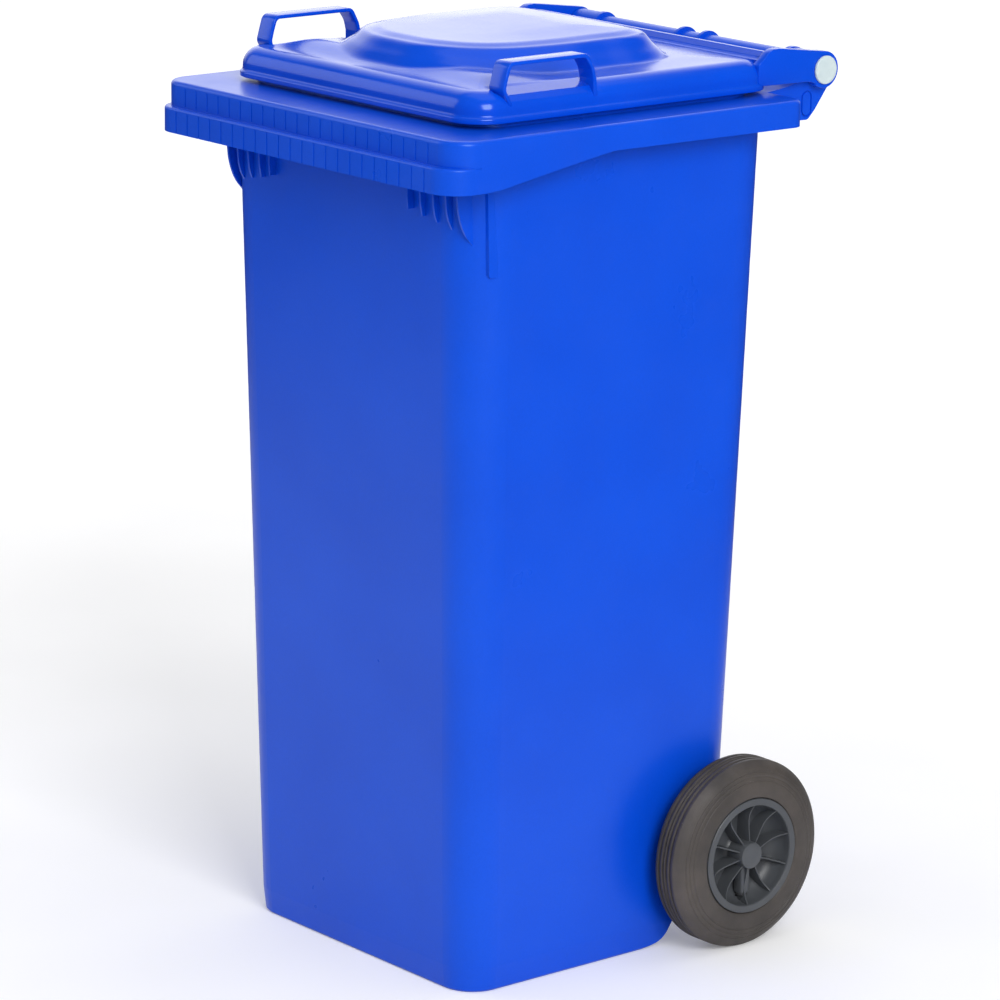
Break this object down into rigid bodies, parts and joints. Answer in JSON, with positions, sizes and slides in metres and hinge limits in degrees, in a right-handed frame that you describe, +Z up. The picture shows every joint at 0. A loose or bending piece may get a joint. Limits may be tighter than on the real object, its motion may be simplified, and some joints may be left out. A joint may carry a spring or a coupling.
{
  "type": "two-wheeled waste bin",
  "caption": "Tall plastic two-wheeled waste bin with comb-front rim, domed hinged lid with pull handles, rear handle bar and spoked rubber-tyred wheels.",
  "frame": {"origin": "middle of the bounding box, on the ground the foot and wheels stand on", "axes": "+X across the bin along the axle and hinge line, +Y from the comb front to the hinge and handle at the rear, +Z up"},
  "size_m": [0.486, 0.544, 0.952],
  "materials": {
    "body_plastic": "saturated blue moulded polyethylene, satin gloss with a fine moulding texture",
    "lid_plastic": "saturated blue moulded polyethylene, smooth gloss",
    "pin_plastic": "light grey moulded plastic",
    "axle_steel": "zinc plated drawn steel",
    "rim_plastic": "dark grey moulded plastic, satin",
    "tyre_rubber": "dark brown-grey solid rubber, scuffed",
    "latch_plastic": "black moulded plastic",
    "spring_steel": "bright spring wire"
  },
  "bodies": {
    "body": {"body": "body_plastic", "axle": "axle_steel", "hinge_pin_left": "pin_plastic", "hinge_pin_right": "pin_plastic"},
    "lid": {"lid": "lid_plastic"},
    "left_wheel": {"wheel_rim_left": "rim_plastic", "tyre_left": "tyre_rubber", "latch_plug_left": "latch_plastic", "latch_spring_left": "spring_steel"},
    "right_wheel": {"wheel_rim_right": "rim_plastic", "tyre_right": "tyre_rubber", "latch_plug_right": "latch_plastic", "latch_spring_right": "spring_steel"},
    "left_latch": {"latch_pin_left": "latch_plastic"},
    "right_latch": {"latch_pin_right": "latch_plastic"}
  },
  "joints": [
    {"name": "lid_hinge", "type": "hinge", "parent": "body", "child": "lid", "pos_m": [0, 0.253, 0.9035], "axis": [-1, 0, 0], "range_deg": [0, 270]},
    {"name": "left_wheel_spin", "type": "hinge", "parent": "body", "child": "left_wheel", "pos_m": [-0.218, 0.138, 0.1], "axis": [1, 0, 0], "continuous": true},
    {"name": "right_wheel_spin", "type": "hinge", "parent": "body", "child": "right_wheel", "pos_m": [0.218, 0.138, 0.1], "axis": [1, 0, 0], "continuous": true},
    {"name": "left_latch_slide", "type": "slide", "parent": "left_wheel", "child": "left_latch", "axis": [0, 0, -1], "range_m": [0, 0.0036], "stiffness_N_per_m": 500, "springref_m": -0.004, "deforming": ["latch_spring_left"]},
    {"name": "right_latch_slide", "type": "slide", "parent": "right_wheel", "child": "right_latch", "axis": [0, 0, -1], "range_m": [0, 0.0036], "stiffness_N_per_m": 500, "springref_m": -0.004, "deforming": ["latch_spring_right"]}
  ]
}
